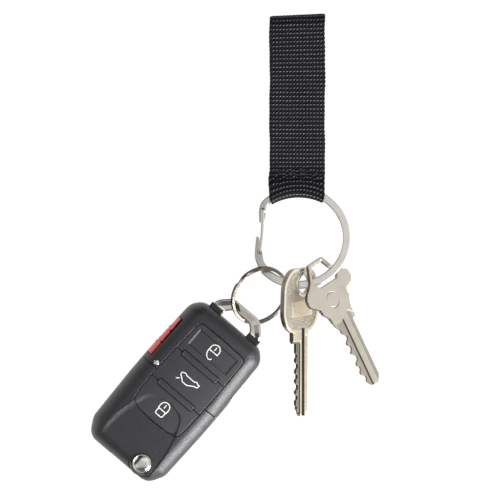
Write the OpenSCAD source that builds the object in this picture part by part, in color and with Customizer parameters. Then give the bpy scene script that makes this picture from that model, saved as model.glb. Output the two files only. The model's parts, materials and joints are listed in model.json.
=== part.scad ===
// Key organiser, laid flat: a webbing hand loop holds a flat gated ring, and on the ring hang
// two plain keys and a split ring with a folding remote key.
// +Z is up, +Y points to the top of the hand loop, and everything rests on z = 0.

/* [Webbing] */
// Width of the webbing
web_w = 21.8; // [18:0.2:24]
// Thickness of one layer of webbing
web_t = 1.3; // [1:0.1:1.5]
// Outer radius of the open end of the hand loop
loop_r = 4.4; // [4.2:0.1:5]

/* [Gated ring] */
// Outer radius of the ring
ring_ro = 20.8; // [20.4:0.1:21.2]
// Inner radius of the ring
ring_ri = 17.6; // [17.4:0.1:18]
// Thickness of the flat ring
ring_t = 1.5; // [1.4:0.1:1.6]
// Slope of the ring, raised at the keys' end, in degrees
ring_tilt = 10; // [9.5:0.1:10.5]
// Diameter of the gate's wire
gate_d = 1.2; // [1:0.1:1.3]

/* [Split ring] */
// Radius of the middle of the split ring's wire
split_r = 11.9; // [11.7:0.1:12.1]
// Width of the split ring's wire
split_w = 1.3; // [1.1:0.1:1.4]
// Height of one turn of the split ring
split_h = 0.75; // [0.7:0.05:0.8]

/* [Remote key] */
// Width of the remote key
fob_w = 38.8; // [38:0.2:39.4]
// Length of the remote key without its bail
fob_l = 70.6; // [70:0.2:71.2]
// Thickness of the remote key
fob_t = 16; // [15.8:0.1:16.2]
// How far the remote key leans to the right, in degrees
fob_lean = 40.5; // [40:0.1:41]

/* [Plain keys] */
// Thickness of the left key
left_t = 2.3; // [2.1:0.1:2.4]
// Thickness of the right key
right_t = 1.8; // [1.6:0.1:1.9]
// Roll of the left key about its length, in degrees
left_roll = 50; // [49:0.5:51]
// Roll of the right key about its length, in degrees
right_roll = 35; // [34:0.5:36]

/* [Hidden] */
$fn = 72;

// Where things stand
ring_at = [25.2, 4.4, 6.45];
web_x = 24.65;
web_top = 93.2;
web_split = 32.2;
fob_at = [-47.1, -84.3, 0];
mid_z = fob_t / 2;

// Webbing details, in the ring's own plane
tunnel_gap = 0.3;
tunnel_h = ring_t + 2 * (tunnel_gap + web_t);
tunnel_low = 16.2;
tunnel_r = 21.6;
tunnel_high = 22.2;
sewn_h = 2 * web_t + 0.1;
split_v = (web_split - ring_at[1]) / cos(ring_tilt);
knuckle_gap = 0.3;
web_mid = ring_at[2] - split_v * sin(ring_tilt);

// Gate details, in the ring's own plane
gate_pivot = [-15.6, -5.8];
gate_latch = [-14.5, 10.9];
gate_off = ring_t / 2 + gate_d / 2 + 0.15;

// Remote key details: a runs across, b along from the free end to the bail
seam_b = 38.2;
seam_gap = 0.05;
pad_a = [-12, 13];
pad_b = [21.4, 63.6];
bar_b = [49.8, 35.1];
bar_a = [-8.5, 9.2];
bar_half = 1.3;
pivot = [8.2, 5.6];
blade_a = [12.9, 18.9];
blade_end = 61.2;
blade_h = 2.4;
slot_h = 3.2;
hub_r = 5.2;
sweep_r = 11.9;
button_r = 3.7;
lens_at = [-13.5, 39.9];
bail_z = mid_z;
bail_t = 1.8;
bar_at = 77.2;
symbol_h = 0.12;
symbol_line = 0.5;

module in_ring_plane() {
  translate(ring_at)
    rotate([-ring_tilt, 0, 0])
      children();
}

module on_remote() {
  translate(fob_at)
    rotate([0, 0, -fob_lean])
      children();
}

module slab(low, high) {
  translate(low)
    cube(high - low);
}

// Extrudes a section drawn in (y, z) along x, from x = -w/2 to w/2
module along_x(w) {
  rotate([90, 0, 90])
    linear_extrude(w, center = true)
      children();
}

// ---------- Webbing ----------

module webbing_loop() {
  color([0.17, 0.17, 0.19])
    translate([web_x, 0, 0])
      along_x(web_w)
        difference() {
          hull() {
            translate([web_top - loop_r, loop_r])
              circle(r = loop_r);
            translate([web_split + knuckle_gap + sewn_h / 2, web_mid])
              circle(r = sewn_h / 2);
          }
          hull() {
            translate([web_top - loop_r, loop_r])
              circle(r = loop_r - web_t);
            translate([web_split + 4, web_mid])
              circle(r = 0.06);
          }
        }
}

// Side section of the sewn end: flat sewn stretch, then the raised tunnel
module sewn_section() {
  top = tunnel_h / 2;
  flat = sewn_h / 2;
  end = split_v - knuckle_gap - flat;
  union() {
    polygon([[0, -top], [tunnel_high, -top], [tunnel_high + 3, -flat], [end, -flat],
      [end, flat], [tunnel_high + 3, flat], [tunnel_high, top], [0, top]]);
    translate([end, 0])
      circle(r = flat);
  }
}

module webbing_end() {
  color([0.17, 0.17, 0.19])
    in_ring_plane()
      difference() {
        intersection() {
          translate([web_x - ring_at[0], 0, 0])
            along_x(web_w)
              sewn_section();
          // The lower edge follows the ring, and the sides draw in towards it
          difference() {
            translate([web_x - ring_at[0], 0, -10])
              linear_extrude(20)
                polygon([[-web_w / 2 + 1, 5], [web_w / 2 - 1, 5], [web_w / 2 - 1, 13.5],
                  [web_w / 2, 18.5], [web_w / 2, 40], [-web_w / 2, 40], [-web_w / 2, 18.5],
                  [-web_w / 2 + 1, 13.5]]);
            translate([0, tunnel_low - tunnel_r, -11])
              cylinder(r = tunnel_r, h = 22, $fn = 144);
          }
        }
        rotate_extrude($fn = 144)
          translate([ring_ri - tunnel_gap, -ring_t / 2 - tunnel_gap])
            square([ring_ro - ring_ri + 2 * tunnel_gap, ring_t + 2 * tunnel_gap]);
      }
}

module webbing_stitches() {
  stitch = [1.5, 0.45, 0.2];
  count = 9;
  pitch = (web_w - 2.4) / count;
  color([0.1, 0.1, 0.11])
    in_ring_plane()
      for (row = [0, 1.5], side = [0, 1], i = [0:count - 1])
        translate([web_x - ring_at[0] - web_w / 2 + 1.6 + i * pitch, tunnel_high + 3.4 + row, 0])
          mirror([0, 0, side])
            translate([0, 0, sewn_h / 2])
              cube(stitch);
}

// ---------- Gated ring ----------

// Outline of the ring with its nose above the gap and its arm below the gap
module ring_outline() {
  difference() {
    circle(r = ring_ro, $fn = 180);
    circle(r = ring_ri, $fn = 180);
    translate([-30, -14.2])
      square([18.2, 31]);
  }
  offset(0.5)
    offset(-0.5)
      polygon([[-10.6, 18.1], [-13.6, 16], [-15.3, 14.1], [-16.1, 11], [-15.9, 6],
        [-14.1, 5.6], [-13.2, 8.2], [-13.1, 12.6], [-10.6, 14.9]]);
  offset(0.5)
    offset(-0.5)
      polygon([[-17.1, 0.4], [-15.9, 0.2], [-15.2, -4], [-14.2, -7.6], [-14, -9.8],
        [-10.6, -14.2], [-10.6, -17.7], [-14.5, -14.8], [-16.6, -11.4], [-17.7, -8.4], [-17.7, -5.6]]);
}

module ring_frame() {
  color([0.72, 0.72, 0.71])
    in_ring_plane()
      difference() {
        translate([0, 0, -ring_t / 2])
          linear_extrude(ring_t)
            ring_outline();
        translate([gate_pivot[0], gate_pivot[1], -5])
          cylinder(d = gate_d + 0.15, h = 10, $fn = 32);
        // Latch notch, open towards the inside so that the gate can swing in
        translate([gate_latch[0], gate_latch[1], -5])
          cylinder(d = gate_d + 0.3, h = 10, $fn = 32);
        translate([gate_latch[0], gate_latch[1] - gate_d / 2 - 0.25, -5])
          cube([5, gate_d + 0.4, 10]);
      }
}

// One side of the wire gate: a straight leg with rounded ends
module gate_leg(z) {
  hull()
    for (p = [gate_pivot, gate_latch])
      translate([p[0], p[1], z])
        sphere(d = gate_d, $fn = 24);
}

module gate_wire() {
  color([0.8, 0.8, 0.8])
    in_ring_plane()
      union() {
        gate_leg(gate_off);
        gate_leg(-gate_off);
        for (p = [gate_pivot, gate_latch])
          translate([p[0], p[1], -gate_off])
            cylinder(d = gate_d, h = 2 * gate_off, $fn = 32);
      }
}

// ---------- Split ring ----------

split_at = [9.6, -18.8, 8.25];
split_slope = [-0.53, 0.485];

// The split ring lies in a sloping plane: over the gated ring and the bail, then under them
module in_split_plane() {
  slope = norm(split_slope);
  translate(split_at)
    rotate([0, 0, atan2(split_slope[1], split_slope[0])])
      rotate([0, -atan(slope), 0])
        children();
}

// Two turns that lie on each other; the wire's two ends lie on either side of one place
module split_ring() {
  lift = split_h / 2 + 0.02;
  color([0.75, 0.75, 0.74])
    in_split_plane()
      for (side = [-1, 1])
        translate([0, 0, side * lift - split_h / 2])
          rotate([0, 0, side * 6])
            rotate_extrude(angle = 352, $fn = 144)
              translate([split_r - split_w / 2, 0])
                square([split_w, split_h]);
}

// ---------- Plain keys ----------

// Places a key by its hole: turned in the plane, tip lowered, rolled about its length
module on_ring_as_key(at, turn, pitch, roll) {
  translate(at)
    rotate([0, 0, turn])
      rotate([pitch, 0, 0])
        rotate([0, roll, 0])
          children();
}

left_at = [26.8, -14.1, 9.8];
left_pitch = 6;
left_cuts = [0.7, 1.2, 0.9, 1.3, 1.0, 0.6];

module left_key() {
  blade_low = -2.9;
  blade_high = 4.1;
  tip = -53.3;
  neck = -21.5;
  centre = -2.1;
  pitch = 4.2;
  color([0.74, 0.73, 0.7])
    on_ring_as_key(left_at, 0, left_pitch, left_roll)
      difference() {
        translate([centre, 0, -left_t / 2])
          linear_extrude(left_t)
            difference() {
              union() {
                offset(4)
                  offset(-4)
                    polygon([[-6.4, 6.5], [7, 6.5], [10.6, 1], [11.2, -12], [9.4, -16.5],
                      [5.6, -19.4], [-5.6, -19.4], [-9.4, -16.5], [-11.2, -12], [-10.6, 1]]);
                polygon([[blade_low - 2.2, -17], [blade_high + 1.2, -17], [blade_high, neck],
                  [blade_high, tip + 3], [2.2, tip], [0, tip], [blade_low, tip + 4],
                  [blade_low, neck - 2], [blade_low - 2.2, neck - 2]]);
              }
              for (i = [0:len(left_cuts) - 1])
                translate([blade_low, neck - 7 - i * pitch])
                  polygon([[-1, -1.6 - left_cuts[i] / 2], [left_cuts[i], -0.6],
                    [left_cuts[i], 0.6], [-1, 1.6 + left_cuts[i] / 2]]);
            }
        cylinder(d = 7.4, h = 10, center = true);
        // Groove along each face of the blade
        for (side = [0, 1])
          mirror([0, 0, side])
            translate([centre - 0.1, tip + 3, left_t / 2 - 0.7])
              cube([1.9, -tip - 20, 1]);
      }
}

right_at = [32.88, -10.8, 9.95];
right_turn = 25.3;
right_pitch = 5;
right_cuts = [1.7, 1.1, 1.9, 0.9, 1.7];

module right_key() {
  tip = -49.4;
  neck = -25;
  blade_low = -1.8;
  blade_high = 6.4;
  pitch = 4.5;
  color([0.76, 0.75, 0.73])
    on_ring_as_key(right_at, right_turn, right_pitch, right_roll)
      difference() {
        translate([0, 0, -right_t / 2])
          linear_extrude(right_t)
            difference() {
              offset(0.8)
                offset(-0.8)
                  polygon([[5, 6.1], [-2.9, 5.6], [-5.6, -1.2], [-7.2, -2.6], [-9.4, -4.6],
                    [-10.8, -6.7], [-10.8, -9.6], [-6.8, -12.6], [-6.2, -15], [-4.3, -17.2],
                    [-3.4, -21.4], [blade_low, -23.6], [blade_low, tip + 4],
                    [blade_low + 2.8, tip], [blade_high - 2, tip], [blade_high, tip + 2.6],
                    [blade_high, -21.7], [8, -21.7], [8.1, -19.5], [7.6, -17.8], [8.6, -14.3],
                    [9.6, -12.8], [9.2, -10.7], [10.4, -9.3], [13.2, -8.4], [14.5, -6.4],
                    [14.2, -3.6], [11.8, -2.2], [8.4, 0.2], [7.5, 1.6]]);
              // Slanting opening of the bow, which the ring passes through
              offset(0.8)
                offset(-0.8)
                  polygon([[-1.9, 4.1], [3.9, 4.5], [5.7, 1.3], [7.6, -0.8], [8.6, -2.6], [7.6, -4.4],
                    [-2.2, -4.8], [-4.2, -2.8], [-3.8, -0.5]]);
              for (i = [0:len(right_cuts) - 1])
                translate([blade_low, neck - 2.3 - i * pitch])
                  polygon([[-1, -1.7 - right_cuts[i] / 2], [right_cuts[i], -0.7],
                    [right_cuts[i], 0.7], [-1, 1.7 + right_cuts[i] / 2]]);
            }
        // Two grooves along each face of the blade
        for (side = [0, 1], x = [1.2, 3.8])
          mirror([0, 0, side])
            translate([x, tip + 2, right_t / 2 - 0.5])
              cube([1.1, -tip - 20, 1]);
      }
}

// ---------- Remote key: common shapes ----------

module remote_outline(inset = 0) {
  half = fob_w / 2 - inset;
  offset(6 - inset, $fn = 48)
    polygon([[-half + 6.6, inset + 8.5], [-half + 8, 6], [0, 6], [half - 8, 6],
      [half - 6.6, inset + 8.5], [half - 6, 30], [half - 6, 44],
      [half - 6.9, fob_l - 6.8], [half - 7.6, fob_l - 6], [-half + 7.6, fob_l - 6],
      [-half + 6.9, fob_l - 6.8], [-half + 6, 44], [-half + 6, 30]]);
}

// Section across the remote key, drawn in (a, z)
module cross_section(inset = 0) {
  offset(delta = -inset)
    polygon([[-13, 0], [13, 0], [16.2, 0.9], [18.4, 3], [19.6, 6.4], [19.6, 9.6], [18.5, 12.4],
      [16.4, 14.7], [13, fob_t], [-13, fob_t], [-16.4, 14.7], [-18.5, 12.4], [-19.6, 9.6],
      [-19.6, 6.4], [-18.4, 3], [-16.2, 0.9]]);
}

// Section along the remote key, drawn in (b, z)
module long_section(inset = 0) {
  offset(delta = -inset)
    polygon([[3.4, 0], [66, 0], [69, 1.4], [fob_l, 4.6], [fob_l, 11.4], [69, 14.4], [66, 15.6],
      [62, fob_t], [31, fob_t], [21, 15.5], [5.4, 14.8], [1.5, 13.2], [-0.2, 10.6], [-0.2, 4.2],
      [1, 1.4]]);
}

module remote_form(inset = 0) {
  intersection() {
    translate([0, 0, -1])
      linear_extrude(fob_t + 2)
        remote_outline(inset);
    translate([0, -5, 0])
      rotate([-90, 0, 0])
        mirror([0, 1, 0])
          linear_extrude(fob_l + 10)
            cross_section(inset);
    along_x(fob_w + 10)
      long_section(inset);
  }
}

// One part of the solid form, cut to a range along b and a range of heights
module form_part(b, z, inset = 0) {
  intersection() {
    remote_form(inset);
    slab([-30, b[0], z[0]], [30, b[1], z[1]]);
  }
}

// Space that the blade, its hub and its swing need
module blade_space() {
  gap = 0.35;
  translate([pivot[0], pivot[1], mid_z - slot_h / 2])
    cylinder(r = sweep_r, h = slot_h);
  slab([blade_a[0] - gap, -2, mid_z - slot_h / 2], [30, blade_end + 0.7, mid_z + slot_h / 2]);
  slab([pivot[0] - sweep_r, -2, mid_z - slot_h / 2], [30, pivot[1], mid_z + slot_h / 2]);
  translate([pivot[0], pivot[1], 2.6])
    cylinder(r = hub_r + 0.3, h = 10.1);
}

module pad_window(gap) {
  slab([pad_a[0] - gap, pad_b[0] - gap, 10.4], [pad_a[1] + gap, pad_b[1] + gap, fob_t + 1]);
}

module alarm_window(gap) {
  slab([-25, 40.8 - gap, 3.6 - gap], [-16.6 + gap, 59.4 + gap, 13.5 + gap]);
}

module screw_space(r) {
  translate([-9, 14, 0])
    cylinder(r = r, h = 12.4, $fn = 32);
}

// ---------- Remote key: covers ----------

module remote_cover_front() {
  color([0.13, 0.13, 0.14])
    on_remote()
      difference() {
        form_part([seam_b + seam_gap, 80], [mid_z + seam_gap, 20]);
        form_part([seam_b + 1.4, fob_l - 1.6], [mid_z - 1, 20], 1.6);
        pad_window(0.1);
        alarm_window(0.1);
        blade_space();
        translate([lens_at[0], lens_at[1], 8])
          cylinder(d = 2.3, h = 10, $fn = 32);
      }
}

module remote_cover_back() {
  color([0.13, 0.13, 0.14])
    on_remote()
      difference() {
        form_part([seam_b + seam_gap, 80], [-1, mid_z - seam_gap]);
        form_part([seam_b + 1.4, fob_l - 1.6], [1, 20], 1.6);
        alarm_window(0.1);
        blade_space();
      }
}

module blade_housing_front() {
  color([0.13, 0.13, 0.14])
    on_remote()
      difference() {
        form_part([-5, seam_b - seam_gap], [mid_z + seam_gap, 20]);
        pad_window(0.1);
        blade_space();
        translate([pivot[0], pivot[1], 10])
          cylinder(r = button_r + 0.06, h = 10);
        screw_space(0.9);
        slab([-16.2, 22, 0], [-13, 35.2, 11]);
      }
}

module blade_housing_back() {
  color([0.13, 0.13, 0.14])
    on_remote()
      difference() {
        form_part([-5, seam_b - seam_gap], [-1, mid_z - seam_gap]);
        blade_space();
        screw_space(1.05);
        translate([-9, 14, -1])
          cylinder(r = 2.1, h = 2.4, $fn = 32);
        slab([-16.2, 22, 5], [-13, 35.2, 11]);
      }
}

module key_bail() {
  leg_a = 9.5;
  color([0.85, 0.85, 0.86])
    on_remote()
      translate([0.3, 0, bail_z - bail_t / 2])
        linear_extrude(bail_t)
          difference() {
            offset(2, $fn = 40)
              polygon([[-leg_a - 0.6, fob_l + 2.3], [leg_a + 0.6, fob_l + 2.3], [leg_a - 0.2, 74],
                [5.6, bar_at - 0.8], [-5.6, bar_at - 0.8], [-leg_a + 0.2, 74]]);
            offset(1, $fn = 40)
              polygon([[-6, 60], [6.6, 60], [6.8, 72.6], [4.4, bar_at - 2.2],
                [-3.8, bar_at - 2.2], [-6.2, 72.6]]);
          }
}

module bail_collars() {
  color([0.05, 0.05, 0.06])
    on_remote()
      for (a = [-9.2, 9.9])
        translate([a, fob_l + 0.1, bail_z])
          difference() {
            translate([-3, 0, -2])
              cube([6, 1.8, 4]);
            translate([-2.8, -1, -bail_t / 2 - 0.05])
              cube([5.6, 4, bail_t + 0.1]);
          }
}

// ---------- Remote key: keypad ----------

module keypad_bars() {
  color([0.1, 0.1, 0.11])
    on_remote()
      for (b = bar_b)
        slab([bar_a[0], b - bar_half, 14.4], [bar_a[1], b + bar_half, fob_t + 0.2]);
}

module keypad_mat() {
  color([0.07, 0.07, 0.08])
    on_remote()
      union() {
        slab([pad_a[0], pad_b[0], 13.8], [pad_a[1], pad_b[1], 14.2]);
        slab([bar_a[0], bar_b[0] - 0.9, 14.2], [bar_a[1], bar_b[0] + 0.9, 14.4]);
        slab([bar_a[0], bar_b[1] - 0.9, 14.2], [bar_a[1], bar_b[1] + 0.9, 14.4]);
      }
}

// A keypad button fills the panel between two heights and leaves room for the raised bars
module keypad_button(b) {
  gap = 0.12;
  difference() {
    translate([0, 0, 15])
      linear_extrude(1)
        intersection() {
          offset(3.2, $fn = 40)
            polygon([[pad_a[0] + 4, pad_b[0] + 3.2], [pad_a[1] - 3.2, pad_b[0] + 3.2],
              [pad_a[1] - 3.2, pad_b[1] - 3.2], [pad_a[0] + 4.2, pad_b[1] - 3.2],
              [pad_a[0] + 3.2, 40]]);
          translate([pad_a[0] - 1, b[0]])
            square([pad_a[1] - pad_a[0] + 2, b[1] - b[0]]);
        }
    for (bar = bar_b)
      slab([bar_a[0] - gap, bar - bar_half - gap, 10], [bar_a[1] + gap, bar + bar_half + gap, 20]);
  }
}

module unlock_button() {
  color([0.1, 0.1, 0.11])
    on_remote()
      difference() {
        keypad_button([bar_b[0] + 0.06, pad_b[1]]);
        slab([-8.7, 53.4, 15.6], [10.4, 61.6, 20]);
      }
}

module boot_button() {
  color([0.1, 0.1, 0.11])
    on_remote()
      keypad_button([bar_b[1] + 0.06, bar_b[0] - 0.06]);
}

module lock_button() {
  color([0.1, 0.1, 0.11])
    on_remote()
      difference() {
        keypad_button([pad_b[0], bar_b[1] - 0.06]);
        // Finger dish, shared with the housing below
        translate([1.2, 20.4, 15.5])
          cylinder(r = 10.9, h = 5);
      }
}

// ---------- Remote key: symbols ----------

module symbol(at, z) {
  color([0.92, 0.92, 0.9])
    on_remote()
      translate([at[0], at[1], z])
        linear_extrude(symbol_h)
          children();
}

module line_around() {
  difference() {
    offset(symbol_line / 2)
      children();
    offset(-symbol_line / 2)
      children();
  }
}

// Padlock body with its key slot: a dome on a straight edge
module padlock_body() {
  line_around()
    union() {
      translate([0, 0.6])
        circle(r = 2.1, $fn = 40);
      translate([-2.1, -1.6])
        square([4.2, 2.2]);
    }
  translate([-0.3, -0.5])
    square([0.6, 1.7]);
}

module unlock_symbol() {
  symbol([0.9, 58.6], 15.6)
    union() {
      padlock_body();
      translate([-0.1, -2.8])
        difference() {
          circle(r = 2.2, $fn = 40);
          circle(r = 1.7, $fn = 40);
          translate([-3, 1.1])
            square(6);
          translate([0.4, -1.1])
            square(3);
        }
    }
}

module lock_symbol() {
  symbol([0.6, 28.2], 15.5)
    union() {
      padlock_body();
      difference() {
        translate([-1.7, -3.9])
          offset(0.4, $fn = 24)
            square([3.4, 2]);
        translate([-1.6, -3.8])
          square([3.2, 2.2]);
      }
    }
}

module boot_symbol() {
  symbol([0.9, 42.4], 16)
    union() {
      line_around()
        polygon([[-3.9, 0.9], [-3.2, 2], [-2, 2], [-1.4, 1.2], [1.7, 1.2], [2.3, 2], [3.5, 2],
          [3.9, 1.4], [4.4, 1.2], [4.4, 0.2], [2.9, -0.6], [1.2, -2], [-1.6, -2], [-3.4, -0.6],
          [-3.9, -0.2]]);
      translate([-4.3, -2])
        circle(r = 0.5, $fn = 24);
    }
}

// ---------- Remote key: side button, lens and inside ----------

module alarm_button() {
  color([0.8, 0.1, 0.1])
    on_remote()
      intersection() {
        translate([-0.1, 0, 0])
          remote_form(0);
        alarm_window(-0.1);
        slab([-25, 30, 0], [-17.3, 70, 20]);
      }
}

module lamp_lens() {
  color([0.8, 0.8, 0.82])
    on_remote()
      translate([lens_at[0], lens_at[1], 14])
        cylinder(d = 2.2, h = 2, $fn = 32);
}

module circuit_board() {
  color([0.1, 0.35, 0.2])
    on_remote()
      difference() {
        slab([-11, 23, 11.4], [11.6, 66, 12.2]);
        translate([pivot[0], pivot[1], 0])
          cylinder(r = 15, h = 20);
      }
}

module tact_switches() {
  color([0.6, 0.6, 0.62])
    on_remote()
      for (b = [27.6, 42.4, 57.6])
        translate([-1.4, b - 1.8, 12.2])
          cube([4.4, 3.6, 1.4]);
}

module board_chips() {
  color([0.08, 0.08, 0.08])
    on_remote()
      for (at = [[-9, 31], [5.4, 48], [-8.4, 50], [4, 33]])
        translate([at[0], at[1], 12.2])
          cube([3.6, 3.6, 1]);
}

module coin_cell() {
  color([0.8, 0.8, 0.8])
    on_remote()
      translate([-3.4, 54, 2])
        cylinder(d = 20, h = 3.2);
}

module cell_contact() {
  color([0.8, 0.7, 0.4])
    on_remote()
      union() {
        slab([-6, 50, 5.25], [-1, 58, 5.5]);
        slab([-6, 57.6, 5.5], [-1, 58, 11.35]);
      }
}

module transponder() {
  color([0.2, 0.2, 0.2])
    on_remote()
      translate([-14.6, 23, mid_z])
        rotate([-90, 0, 0])
          cylinder(d = 2.4, h = 11.4, $fn = 32);
}

module assembly_screw() {
  color([0.4, 0.4, 0.42])
    on_remote()
      difference() {
        translate([-9, 14, 0.4])
          union() {
            cylinder(r = 1.95, h = 0.95, $fn = 32);
            cylinder(r = 0.85, h = 11.4, $fn = 32);
          }
        slab([-10.4, 13.75, 0], [-7.6, 14.25, 0.7]);
      }
}

// ---------- Folding blade ----------

module flip_spring() {
  color([0.5, 0.5, 0.52])
    on_remote()
      for (i = [0:2])
        translate([pivot[0], pivot[1], 2.7 + i * 0.9])
          rotate_extrude(angle = 350)
            translate([3.9, 0.4])
              circle(d = 0.75, $fn = 24);
}

module blade_hub() {
  color([0.25, 0.25, 0.26])
    on_remote()
      difference() {
        translate([pivot[0], pivot[1], 2.7])
          cylinder(r = hub_r, h = 9.8);
        translate([pivot[0], pivot[1], 0])
          cylinder(r = hub_r - 0.7, h = 5.6);
        translate([pivot[0], pivot[1], 7.2])
          cylinder(r = 2.45, h = 10);
        blade_pin_space(0.77);
      }
}

module blade_pin_space(r) {
  translate([pivot[0] + 2.8, pivot[1] + 0.4, mid_z])
    rotate([0, 90, 0])
      cylinder(r = r, h = 6, $fn = 32);
}

module folding_blade() {
  cuts = [0.8, 1.5, 1];
  color([0.75, 0.75, 0.74])
    on_remote()
      difference() {
        translate([0, 0, mid_z - blade_h / 2])
          linear_extrude(blade_h)
            polygon([[pivot[0], 1.2], [13.4, 1.7], [16.2, 3.8], [17.6, 8], [18.2, 14],
              [blade_a[1], 30],
              [blade_a[1], blade_end - 2.4], [blade_a[1] - 2, blade_end],
              [blade_a[0] + 2, blade_end], [blade_a[0], blade_end - 2.4], [blade_a[0], 14],
              [pivot[0], 11.4]]);
        translate([pivot[0], pivot[1], 0])
          cylinder(r = hub_r + 0.02, h = 20);
        blade_pin_space(0.77);
        // Laser-cut track along each face
        for (side = [0, 1])
          translate([0, 0, side * 2 * mid_z])
            mirror([0, 0, side])
              slab([blade_a[0] + 2.2, 20, mid_z + blade_h / 2 - 0.6],
                [blade_a[0] + 3.8, blade_end + 1, mid_z + blade_h]);
      }
}

module blade_pin() {
  color([0.6, 0.6, 0.6])
    on_remote()
      translate([pivot[0] + 2.9, pivot[1] + 0.4, mid_z])
        rotate([0, 90, 0])
          cylinder(r = 0.75, h = 5.6, $fn = 32);
}

module release_button() {
  color([0.9, 0.9, 0.92])
    on_remote()
      translate([pivot[0], pivot[1], 0])
        difference() {
          union() {
            translate([0, 0, 14])
              cylinder(r = button_r, h = 1.5);
            translate([0, 0, 8.8])
              cylinder(r = 2.3, h = 5.3);
          }
          translate([0, 0, 15.2])
            cylinder(r = button_r - 0.5, h = 2);
        }
}

module release_spring() {
  color([0.5, 0.5, 0.52])
    on_remote()
      translate([pivot[0], pivot[1], 12.75])
        rotate_extrude()
          translate([2.95, 0])
            square([0.5, 1.1]);
}

webbing_loop();
webbing_end();
webbing_stitches();
ring_frame();
gate_wire();
split_ring();
left_key();
right_key();
remote_cover_front();
remote_cover_back();
blade_housing_front();
blade_housing_back();
keypad_bars();
keypad_mat();
lamp_lens();
key_bail();
bail_collars();
circuit_board();
tact_switches();
board_chips();
coin_cell();
cell_contact();
transponder();
assembly_screw();
flip_spring();
unlock_button();
unlock_symbol();
boot_button();
boot_symbol();
lock_button();
lock_symbol();
alarm_button();
release_button();
release_spring();
blade_hub();
folding_blade();
blade_pin();
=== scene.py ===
"""Looks of the key organiser: webbing loop, gated ring, two plain keys, split ring, remote key."""

import json
import math

import bpy
import numpy as np
from mathutils import Matrix, Vector
from numpy import hypot, maximum, minimum

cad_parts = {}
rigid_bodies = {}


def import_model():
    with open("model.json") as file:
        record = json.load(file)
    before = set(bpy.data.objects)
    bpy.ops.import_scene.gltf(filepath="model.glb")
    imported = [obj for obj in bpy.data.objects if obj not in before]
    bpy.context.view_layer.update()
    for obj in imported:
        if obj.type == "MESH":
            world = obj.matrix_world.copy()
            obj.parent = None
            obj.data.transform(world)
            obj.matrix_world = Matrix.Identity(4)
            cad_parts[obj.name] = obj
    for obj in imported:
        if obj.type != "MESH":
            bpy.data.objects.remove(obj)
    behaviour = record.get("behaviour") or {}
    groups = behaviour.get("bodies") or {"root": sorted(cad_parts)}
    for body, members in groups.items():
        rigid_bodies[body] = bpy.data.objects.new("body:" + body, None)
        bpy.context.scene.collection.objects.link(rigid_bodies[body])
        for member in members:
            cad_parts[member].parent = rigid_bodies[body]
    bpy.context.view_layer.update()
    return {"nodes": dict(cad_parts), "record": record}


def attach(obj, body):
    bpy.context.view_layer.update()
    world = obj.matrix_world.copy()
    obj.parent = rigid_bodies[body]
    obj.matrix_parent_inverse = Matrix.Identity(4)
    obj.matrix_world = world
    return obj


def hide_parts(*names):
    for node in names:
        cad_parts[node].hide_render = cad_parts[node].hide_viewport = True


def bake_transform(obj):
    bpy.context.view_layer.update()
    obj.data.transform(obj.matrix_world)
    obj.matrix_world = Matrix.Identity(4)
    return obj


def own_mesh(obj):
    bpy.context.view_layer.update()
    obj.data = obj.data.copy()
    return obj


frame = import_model()
SCENE = bpy.context.scene
MM = 0.001
JOINTS = {j["name"]: j for j in frame["record"]["behaviour"]["joints"]}


def joint_at(name):
    """A joint's place, in millimetres."""
    return Vector(JOINTS[name]["pos_m"]) / MM


def place(origin, *turns):
    """A frame at origin, turned about its own axes one after the other."""
    m = Matrix.Translation(origin)
    for axis, degrees in turns:
        m = m @ Matrix.Rotation(math.radians(degrees), 4, axis)
    return m


# ---------- Where things stand, in millimetres, as in the CAD model ----------
RING_TILT = 10.0
RING_AT = joint_at("ring_turn")
RING = place(RING_AT, ("X", -RING_TILT))
SPLIT = place(
    RING_AT + Vector((-15.6, -23.2, 1.8)), ("Z", math.degrees(math.atan2(0.485, -0.53))),
    ("Y", -math.degrees(math.atan(math.hypot(0.53, 0.485)))))
LEFT = place(joint_at("left_key_swing"), ("X", 6), ("Y", 50))
RIGHT = place(RING_AT + Vector((7.68, -15.2, 3.5)), ("Z", 25.3), ("X", 5), ("Y", 35))
PIVOT = (8.2, 5.6)
MID_Z = 8.0
FOB_TURN = Matrix.Rotation(math.radians(-40.5), 4, "Z")
FOB = Matrix.Translation(
    joint_at("blade_flip") - FOB_TURN @ Vector((PIVOT[0], PIVOT[1], MID_Z))) @ FOB_TURN


# ---------- Mesh tools ----------
def add_object(name, data):
    obj = bpy.data.objects.new(name, data)
    SCENE.collection.objects.link(obj)
    return obj


def add_mesh(name, points, faces, matrix, material, smooth=True):
    """A mesh object from points in millimetres, put in place by matrix."""
    m = np.array(matrix)
    world = (np.asarray(points, float) @ m[:3, :3].T + m[:3, 3]) * MM
    mesh = bpy.data.meshes.new(name)
    mesh.from_pydata(world.tolist(), [], faces.tolist() if hasattr(faces, "tolist") else faces)
    mesh.materials.append(material)
    if smooth:
        mesh.shade_smooth()
    return add_object(name, mesh)


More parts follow.
